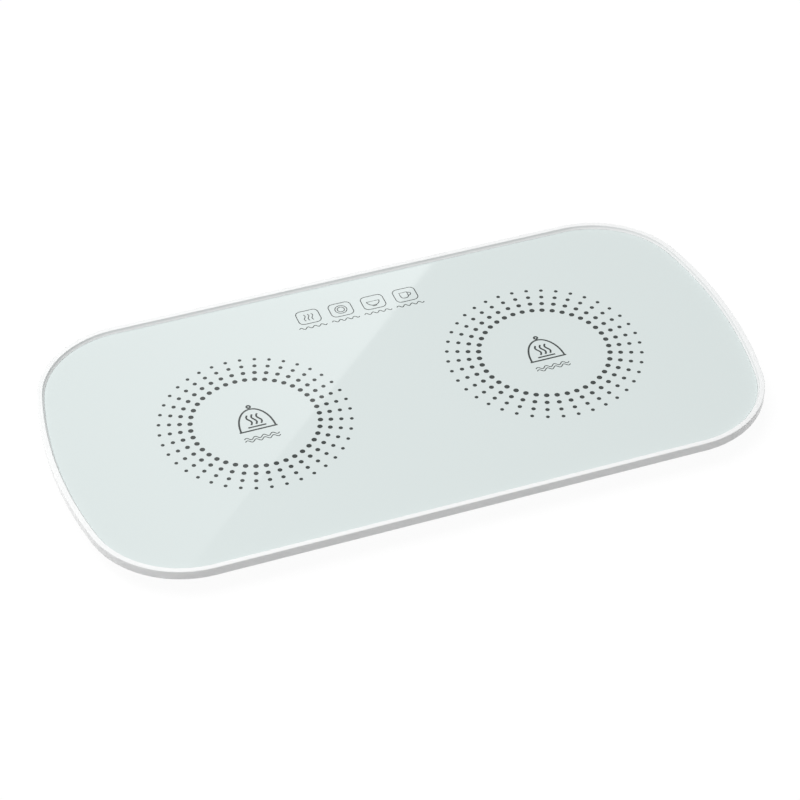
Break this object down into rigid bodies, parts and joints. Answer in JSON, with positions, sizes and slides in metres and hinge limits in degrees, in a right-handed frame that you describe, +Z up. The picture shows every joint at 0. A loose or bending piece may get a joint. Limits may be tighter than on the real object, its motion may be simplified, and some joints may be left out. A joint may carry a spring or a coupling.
{
  "type": "electric food warmer tray",
  "caption": "Flat heated serving tray: a glass panel in a round-cornered white rim over two heater stacks, with feet, a power inlet and rocker switches underneath.",
  "frame": {"origin": "middle of the tray's outline, on the surface that its feet stand on", "axes": "+X along the tray to the right, +Y from the front to the back where the inlet is, +Z up"},
  "size_m": [0.5998, 0.3084, 0.026],
  "materials": {
    "printed_glass": "gloss, printed on its back face",
    "silicone_bond": "matte",
    "white_plastic": "gloss, moulded",
    "white_plastic_satin": "satin, moulded",
    "plated_steel": "zinc plated",
    "foot_silicone": "matte",
    "black_plastic": "satin, moulded",
    "black_plastic_gloss": "gloss, moulded",
    "brass": "bright",
    "lead_insulation": "silicone insulation",
    "aluminium": "mill",
    "mica": "satin",
    "resistance_foil": "rolled",
    "ceramic_felt": "matte",
    "phenolic": "satin"
  },
  "bodies": {
    "tray": {"glass_panel": "printed_glass", "glass_bond": "silicone_bond", "rim_frame": "white_plastic", "bottom_cover": "white_plastic_satin", "cover_screws": "plated_steel", "feet": "foot_silicone", "power_inlet": "black_plastic", "inlet_pins": "brass", "feed_leads": "lead_insulation", "neutral_lead_right": "lead_insulation", "neutral_lead_left": "lead_insulation", "heat_spreader_left": "aluminium", "heat_spreader_right": "aluminium", "mica_cover_left": "mica", "mica_cover_right": "mica", "heating_track_left": "resistance_foil", "heating_track_right": "resistance_foil", "mica_board_left": "mica", "mica_board_right": "mica", "felt_pad_left": "ceramic_felt", "felt_pad_right": "ceramic_felt", "felt_pan_left": "plated_steel", "felt_pan_right": "plated_steel", "thermostat_left": "phenolic", "thermostat_right": "phenolic", "thermal_fuse_left": "phenolic", "thermal_fuse_right": "phenolic", "sensor_clip_left": "plated_steel", "sensor_clip_right": "plated_steel", "sensor_link_left": "brass", "sensor_link_right": "brass", "switch_housing_left": "black_plastic", "switch_housing_right": "black_plastic", "switch_tabs_left": "brass", "switch_tabs_right": "brass", "switched_lead_left": "lead_insulation", "switched_lead_right": "lead_insulation", "element_lead_left": "lead_insulation", "element_lead_right": "lead_insulation"},
    "rocker_left": {"rocker_key_left": "black_plastic_gloss"},
    "rocker_right": {"rocker_key_right": "black_plastic_gloss"}
  },
  "joints": [
    {"name": "left_switch", "type": "hinge", "parent": "tray", "child": "rocker_left", "pos_m": [-0.025, 0.139, 0.01075], "axis": [0, 0, 1], "range_deg": [0, 22]},
    {"name": "right_switch", "type": "hinge", "parent": "tray", "child": "rocker_right", "pos_m": [0.025, 0.139, 0.01075], "axis": [0, 0, 1], "range_deg": [-22, 0]}
  ]
}
